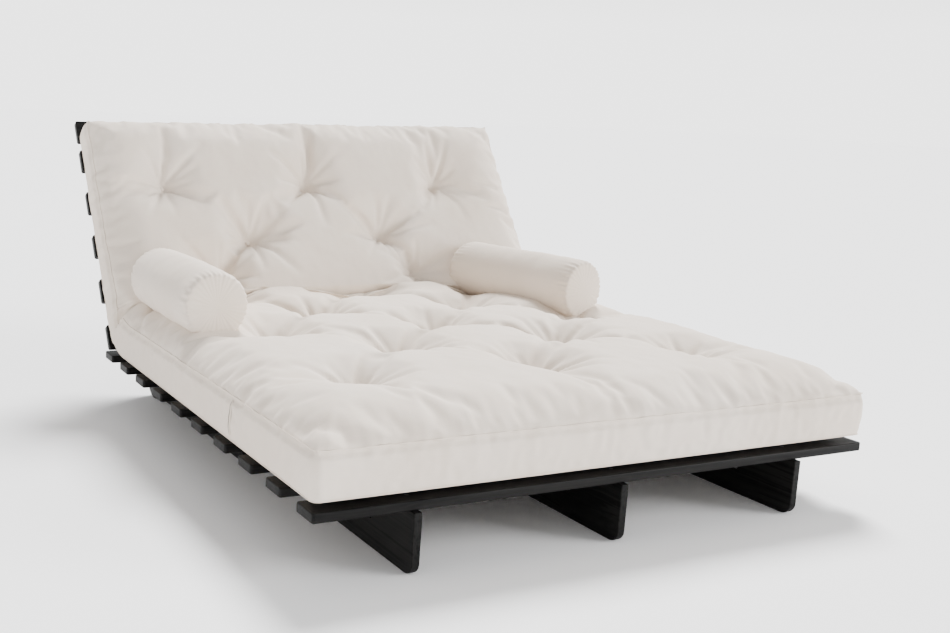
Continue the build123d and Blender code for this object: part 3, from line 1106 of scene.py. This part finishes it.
    def buttons(self, name: str, seats: list[tuple], finish: bpy.types.Material) -> bpy.types.Object:
        """Makes the tufts' covered buttons as one mesh.

        Args:
            name: The mesh's name.
            seats: Place, facing and distance along of each.
            finish: Their material.

        Returns:
            The buttons.
        """
        build = bmesh.new()
        for place, facing, _ in seats:
            turn = facing.to_track_quat("Z", "Y").to_matrix().to_4x4()
            at = Matrix.Translation(place + facing * BUTTON_PROUD) @ turn
            rings = []
            for radius, rise in BUTTON_PROFILE:
                count = 1 if radius == 0.0 else BUTTON_SIDES
                ring = []
                for k in range(count):
                    angle = 2 * math.pi * k / count
                    spot = Vector((radius * math.cos(angle), radius * math.sin(angle), rise))
                    ring.append(build.verts.new(at @ spot))
                rings.append(ring)
            for k in range(BUTTON_SIDES):
                after = (k + 1) % BUTTON_SIDES
                build.faces.new((rings[0][0], rings[1][k], rings[1][after]))
                for inner, outer in zip(rings[1:], rings[2:]):
                    build.faces.new((inner[k], outer[k], outer[after], inner[after]))
        mesh = bpy.data.meshes.new(name)
        build.to_mesh(mesh)
        build.free()
        mesh.materials.append(finish)
        mesh.polygons.foreach_set("use_smooth", [True] * len(mesh.polygons))
        piece = bpy.data.objects.new(name, mesh)
        bpy.context.scene.collection.objects.link(piece)
        return piece

    def add_welt(self, build: bmesh.types.BMesh, loop: list[int]) -> None:
        """Lays a thin welt along a seam of the refined pad.

        Args:
            build: The pad.
            loop: The corners of the seam, in order.
        """
        build.verts.ensure_lookup_table()
        build.normal_update()
        places = [build.verts[corner].co.copy() for corner in loop]
        facings = [build.verts[corner].normal.copy() for corner in loop]
        rings = []
        for number, (place, facing) in enumerate(zip(places, facings)):
            run = (places[(number + 1) % len(places)] - places[number - 1]).normalized()
            side = run.cross(facing).normalized()
            middle = place + facing * 0.4 * self.welt_radius
            ring = []
            for corner in range(6):
                angle = math.pi * corner / 3
                reach = facing * math.cos(angle) + side * math.sin(angle)
                ring.append(build.verts.new(middle + reach * self.welt_radius))
            rings.append(ring)
        for ring, after in zip(rings, rings[1:] + rings[:1]):
            for corner in range(6):
                beside = (corner + 1) % 6
                build.faces.new((ring[corner], ring[beside], after[beside], after[corner]))

    def slit(self, piece: bpy.types.Object, pad: np.ndarray, cloth: bpy.types.Material) -> bpy.types.Object:
        """Makes the short stitched opening in the left border, with painted shade down its middle.

        Args:
            piece: The finished pad.
            pad: X, along and above of each of its corners.
            cloth: The material of its lips.

        Returns:
            The opening, as a strip on the border.
        """
        ridge = SLIT_LIP + tuple((-across, out) for across, out in reversed(SLIT_LIP))
        points, faces = [], []
        to_side = np.abs(pad[:, 0] + self.half_width)
        for row, height in enumerate(np.linspace(*self.slit_heights, SLIT_STEPS)):
            away = to_side + np.hypot(pad[:, 1] - self.slit_along, pad[:, 2] - height)
            near = np.argsort(away)[:3]
            place = np.mean([piece.data.vertices[int(k)].co[:] for k in near], axis=0)
            fullness = max(0.0, math.sin(math.pi * row / (SLIT_STEPS - 1))) ** 0.5
            widening = 0.25 + 0.75 * fullness
            z = self.line.base_z + height
            for across, out in ridge:
                points.append((place[0] - out, place[1] + across * widening, z))
        wide = len(ridge)
        for row in range(SLIT_STEPS - 1):
            for column in range(wide - 1):
                a = row * wide + column
                faces.append((a, a + wide, a + wide + 1, a + 1))
        strip = new_piece("side_slit", np.array(points), faces, cloth)
        # Painted shade: the middle faces of the strip get a near-black matt finish, standing in for the
        # shadow inside the opening.
        strip.data.materials.append(Moulded("slit_shadow", SLIT_PAINTED_SHADE).material())
        gap = len(SLIT_LIP) - 1
        for number, face in enumerate(strip.data.polygons):
            face.material_index = 1 if number % (wide - 1) == gap else 0
        return strip

    def halves(self, whole: bpy.types.Object, cut: float) -> tuple[bpy.types.Object, ...]:
        """Cuts the pad across, and keeps its shading unbroken over the cut.

        Args:
            whole: The finished pad.
            cut: Where to cut, as Y.

        Returns:
            The front piece and the rear piece.
        """
        build = bmesh.new()
        build.from_mesh(whole.data)
        for loop in (self.loops[-1], self.loops[0]):
            self.add_welt(build, loop)
        geometry = build.verts[:] + build.edges[:] + build.faces[:]
        bmesh.ops.bisect_plane(build, geom=geometry, plane_co=(0, cut, 0), plane_no=(0, 1, 0))
        build.normal_update()
        made = []
        for name, keeps_front in (("futon_seat_pad", True), ("futon_back_pad", False)):
            half = build.copy()
            half.normal_update()
            gone = [
                face
                for face in half.faces
                if (face.calc_center_median().y < cut) != keeps_front
            ]
            normals = {tuple(round(c, 6) for c in v.co): v.normal.copy() for v in half.verts}
            bmesh.ops.delete(half, geom=gone, context="FACES")
            mesh = bpy.data.meshes.new(name)
            half.to_mesh(mesh)
            half.free()
            mesh.materials.append(whole.data.materials[0])
            mesh.polygons.foreach_set("use_smooth", [True] * len(mesh.polygons))
            held = [normals[tuple(round(c, 6) for c in v.co)] for v in mesh.vertices]
            mesh.normals_split_custom_set_from_vertices(held)
            piece = bpy.data.objects.new(name, mesh)
            bpy.context.scene.collection.objects.link(piece)
            made.append(piece)
        build.free()
        bpy.data.objects.remove(whole)
        return tuple(made)

    def build(self, cotton: bpy.types.Material, button_cloth: bpy.types.Material) -> None:
        """Makes the pad, its buttons and its side opening, and ties the front piece, its buttons and the
        opening to the rear section.

        Args:
            cotton: The material of the pad.
            button_cloth: The material of the buttons.
        """
        points, faces = self.solid()
        whole = new_piece("futon", self.placed(points), faces, cotton)
        self.swell(whole, self.hold_weights(points))
        self.mark(whole, points)
        self.sharpen(whole)
        refine = whole.modifiers.new("refine", "SUBSURF")
        refine.levels = refine.render_levels = 1
        apply_modifiers(whole)
        pad, on_top = self.crumple(whole)
        seats = self.button_seats(whole, pad, on_top)
        opening = self.slit(whole, pad, cotton)
        cut_along = (self.seat_rows[-2] + self.seat_rows[-1]) / 2 + self.cut_past_middle
        cut = self.line.front_y + cut_along
        front, rear = self.halves(whole, cut)
        front_seats = [seat for seat in seats if seat[2] < cut_along]
        rear_seats = [seat for seat in seats if seat[2] > cut_along]
        front_buttons = self.buttons("tufts_of_seat", front_seats, button_cloth)
        rear_buttons = self.buttons("tufts_of_back", rear_seats, button_cloth)
        y, z = self.line.place(np.array([self.line.arc_end + 0.03]), np.array([0.0]))
        for piece in (front, front_buttons, opening):
            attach(piece, ROOT_BODY)
            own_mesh(piece)
        for piece in (rear, rear_buttons):
            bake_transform(piece)
        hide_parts("futon_seat")
        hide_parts("futon_back")
        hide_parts("seat_tufts")
        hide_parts("back_tufts")
        log.info("futon: %d + %d corners", len(front.data.vertices), len(rear.data.vertices))


# ---- The bolsters -----------------------------------------------------------------------------
@dataclass
class Bolster:
    """A round cotton bolster with a gathered disc sewn into each end."""

    node: str
    turn: float
    radius: float = 0.085
    length: float = 0.450
    sink: float = 0.006
    around: int = 168
    seed: float = 3.0
    gathers: int = 34

    def profile(self) -> list[tuple[float, float, float]]:
        """The outline from one end's middle to the other's.

        Returns:
            Radius, place along the bolster and looseness of the cloth, for each ring.
        """
        half, r = self.length / 2, self.radius
        cap = []
        for share in (k / 9 for k in range(10)):
            cap.append((0.86 * r * share, half + 0.004 * (1 - share**2), 0.3 + 0.5 * share))
        rim = [
            (r * 0.900, half - 0.0015, 1.0),
            (r * 0.925, half - 0.0045, 1.0),
            (r * 0.936, half - 0.0085, 0.4),
            (r * 0.952, half - 0.0105, 0.4),
            (r * 0.962, half - 0.0150, 1.0),
            (r * 0.972, half - 0.0220, 1.0),
        ]
        start = half - 0.030
        body = []
        for k in range(53):
            place = start - 2 * start * k / 52
            fullness = 0.982 + 0.018 * (1 - abs(place / start) ** 3)
            body.append((r * fullness, place, 0.45 + 0.4 * abs(place / start) ** 6))
        ends = cap + rim
        return ends + body + [(radius, -place, loose) for radius, place, loose in reversed(ends)]

    def build(self, cotton: bpy.types.Material) -> None:
        """Makes the bolster in place of its plain solid.

        Args:
            cotton: The material of its cover.
        """
        low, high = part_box(self.node)
        centre = (Vector(low) + Vector(high)) / 2 - Vector((0.0, 0.0, self.sink))
        outline = self.profile()
        rng = np.random.default_rng(int(self.seed * 10))
        phases = rng.uniform(0, 2 * math.pi, 8)
        angle = np.linspace(0, 2 * math.pi, self.around, endpoint=False)
        pleat = np.sin(self.gathers * angle + 2.2 * np.sin(3 * angle + phases[0]) + phases[1])
        pleat += 0.5 * np.sin(21 * angle + phases[2])
        rings = []
        half = self.length / 2
        for radius, place, loose in outline:
            to_seam = abs(abs(place) - (half - 0.0095))
            pucker = 0.0020 * loose * np.exp(-to_seam / 0.016) * pleat * min(1.0, radius / 0.05)
            reach = radius + pucker
            along = place + math.copysign(0.6, place) * pucker * (radius < 0.93 * self.radius)
            spread = np.stack(
                [reach * np.cos(angle), np.broadcast_to(along, angle.shape), reach * np.sin(angle)],
                axis=-1,
            )
            rings.append(spread)
        points = np.concatenate(rings)
        outward = points.copy()
        outward[:, 1] *= 0.15
        outward /= np.maximum(np.linalg.norm(outward, axis=1, keepdims=True), 1e-9)
        folds = ripple(points * np.array([1.0, 2.6, 1.0]), 11.0, self.seed, 3)
        sag = ripple(points, 5.0, self.seed + 4.0, 2)
        points = points + outward * (0.0018 * folds + 0.0026 * sag)[:, None]
        resting = -0.90 * self.radius
        under = points[:, 2] < resting
        points[under, 2] = resting + (points[under, 2] - resting) * 0.8
        faces = []
        for ring in range(len(outline) - 1):
            for k in range(self.around):
                after = (k + 1) % self.around
                a, b = ring * self.around, (ring + 1) * self.around
                faces.append((a + k, a + after, b + after, b + k))
        turned = np.array(Matrix.Rotation(-self.turn, 3, "Z"))
        piece = new_piece(self.node + "_cover", points @ turned.T + np.array(centre), faces, cotton)
        tidy = bmesh.new()
        tidy.from_mesh(piece.data)
        bmesh.ops.remove_doubles(tidy, verts=tidy.verts[:], dist=1e-5)
        bmesh.ops.recalc_face_normals(tidy, faces=tidy.faces[:])
        tidy.to_mesh(piece.data)
        tidy.free()
        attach(piece, self.node)
        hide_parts(self.node)
        log.info("%s: %d corners", self.node, len(piece.data.vertices))


# ---- The webbing ------------------------------------------------------------------------------
@dataclass
class Webbing:
    """A woven strap under the seat slats, tied to the rear section."""

    node: str
    steps: int = 160
    waviness: float = 0.0002
    edge_rounding: float = 0.00045

    def build(self, tape: bpy.types.Material) -> None:
        """Makes the strap in place of its plain solid.

        Args:
            tape: The material of the strap.
        """
        low, high = (Vector(corner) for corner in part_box(self.node))
        ys = np.linspace(low.y, high.y, self.steps + 1)
        xs = np.linspace(low.x, high.x, 7)
        lift = self.waviness * np.sin(ys * 31.0)
        edge = self.edge_rounding * (np.abs(xs - xs.mean()) / (xs[-1] - xs.mean())) ** 4
        points, faces = [], []
        for level, sign in ((high.z, -1.0), (low.z, 1.0)):
            for row, y in enumerate(ys):
                for column, x in enumerate(xs):
                    points.append((x, y, level + sign * (edge[column] + abs(lift[row]))))
        wide, count = len(xs), len(xs) * len(ys)
        for row in range(self.steps):
            for column in range(wide - 1):
                a = row * wide + column
                faces.append((a, a + 1, a + wide + 1, a + wide))
                faces.append((count + a, count + a + wide, count + a + wide + 1, count + a + 1))
            for side, flip in ((0, False), (wide - 1, True)):
                a = row * wide + side
                wall = (a, a + wide, count + a + wide, count + a)
                faces.append(wall[::-1] if flip else wall)
        for row, flip in ((0, True), (self.steps, False)):
            for column in range(wide - 1):
                a = row * wide + column
                wall = (a, a + 1, count + a + 1, count + a)
                faces.append(wall if flip else wall[::-1])
        piece = new_piece(self.node + "_strap", np.array(points), faces, tape)
        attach(piece, ROOT_BODY)
        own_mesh(piece)
        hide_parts(self.node)
        log.info("%s: strap", self.node)


# ---- The studio -------------------------------------------------------------------------------
@dataclass
class Studio:
    """A white floor without edges, soft lights and the camera."""

    camera_at: tuple[float, float, float] = (-1.5639, -2.5982, 0.8695)
    pan: float = -0.44731
    tilt: float = -0.16818
    roll: float = -0.04292
    lens: float = 43.01
    shift: tuple[float, float] = (0.1863, -0.0280)
    floor_size: float = 80.0
    sky_fall: tuple[float, float, float, float] = (0.07, 0.34, 3.2, 0.75)

    def floor(self) -> None:
        """Lays the floor."""
        half = self.floor_size / 2
        corners = np.array([(-half, -half, 0), (half, -half, 0), (half, half, 0), (-half, half, 0)])
        tree = NodeTree(bpy.data.materials.new("floor_white"))
        tree.shader.inputs["Base Color"].default_value = (0.95, 0.95, 0.955, 1.0)
        tree.shader.inputs["Roughness"].default_value = 0.85
        tree.shader.inputs["Specular IOR Level"].default_value = 0.1
        piece = new_piece("floor", corners, [(0, 1, 2, 3)], tree.material)

    def lamp(self, name: str, comes_from: tuple, spread: float, power: float) -> None:
        """Adds a broad parallel light, which lights the whole floor evenly.

        Args:
            name: Its name.
            comes_from: The direction it comes from.
            spread: How wide it is in degrees, which softens its shadows.
            power: Its power in watts per square metre.
        """
        data = bpy.data.lights.new(name, "SUN")
        data.angle, data.energy = math.radians(spread), power
        lamp = bpy.data.objects.new(name, data)
        lamp.rotation_euler = Vector(comes_from).to_track_quat("Z", "Y").to_euler()
        bpy.context.scene.collection.objects.link(lamp)

    def sky(self) -> None:
        """Makes the soft light all round, brighter near the horizon than overhead."""
        world = bpy.data.worlds.new("studio")
        world.use_nodes = True
        nodes, links = world.node_tree.nodes, world.node_tree.links
        source = nodes.new("ShaderNodeTexCoord")
        split = nodes.new("ShaderNodeSeparateXYZ")
        fall = nodes.new("ShaderNodeMapRange")
        for name, value in zip(("From Min", "From Max", "To Min", "To Max"), self.sky_fall):
            fall.inputs[name].default_value = value
        links.new(source.outputs["Generated"], split.inputs["Vector"])
        links.new(split.outputs["Z"], fall.inputs["Value"])
        links.new(fall.outputs["Result"], nodes["Background"].inputs["Strength"])
        nodes["Background"].inputs["Color"].default_value = (1.0, 1.0, 1.0, 1.0)
        bpy.context.scene.world = world

    def camera(self) -> None:
        """Sets up the camera."""
        data = bpy.data.cameras.new("camera")
        data.sensor_width, data.lens = 36.0, self.lens
        data.shift_x, data.shift_y = self.shift
        camera = bpy.data.objects.new("camera", data)
        turn = (
            Matrix.Rotation(self.pan, 3, "Z")
            @ Matrix.Rotation(self.tilt, 3, "X")
            @ Matrix.Rotation(self.roll, 3, "Y")
            @ Matrix.Rotation(math.pi / 2, 3, "X")
        )
        camera.matrix_world = Matrix.Translation(self.camera_at) @ turn.to_4x4()
        bpy.context.scene.collection.objects.link(camera)
        bpy.context.scene.camera = camera

    def build(self) -> None:
        """Sets up everything round the object."""
        self.floor()
        self.lamp("overhead", (0.50, 0.70, 1.0), 20.0, 8.4)
        self.lamp("front_right", (1.2, -0.8, 0.50), 30.0, 3.4)
        self.sky()
        self.camera()


def main() -> None:
    """Builds the looks, piece by piece."""
    logging.basicConfig(level=logging.INFO, format="%(message)s")
    log.info("frame: dressing the wood and hardware")
    Frame().dress()
    cotton = Cotton("futon_cotton").material()
    button_cloth = Cotton("tuft_cotton").material()
    front = Vector(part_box("futon_seat")[0])
    hinge = Vector(joint_named(FOLD_JOINT)["pos_m"])
    half_width = -front.x
    line = BendLine(front.y, front.z, hinge.y, hinge.z, RECLINE)
    log.info("futon")
    Futon(line, half_width, line.along_back(0.757)).build(cotton, button_cloth)
    log.info("bolsters")
    Bolster("bolster_left", math.radians(0.5), seed=3.0).build(cotton)
    Bolster("bolster_right", math.radians(-12.5), seed=8.0).build(cotton)
    tape = WovenTape("webbing_black").material()
    for node in ("webbing_left", "webbing_right"):
        Webbing(node).build(tape)
    log.info("studio")
    Studio().build()


if __name__ == "__main__":
    main()
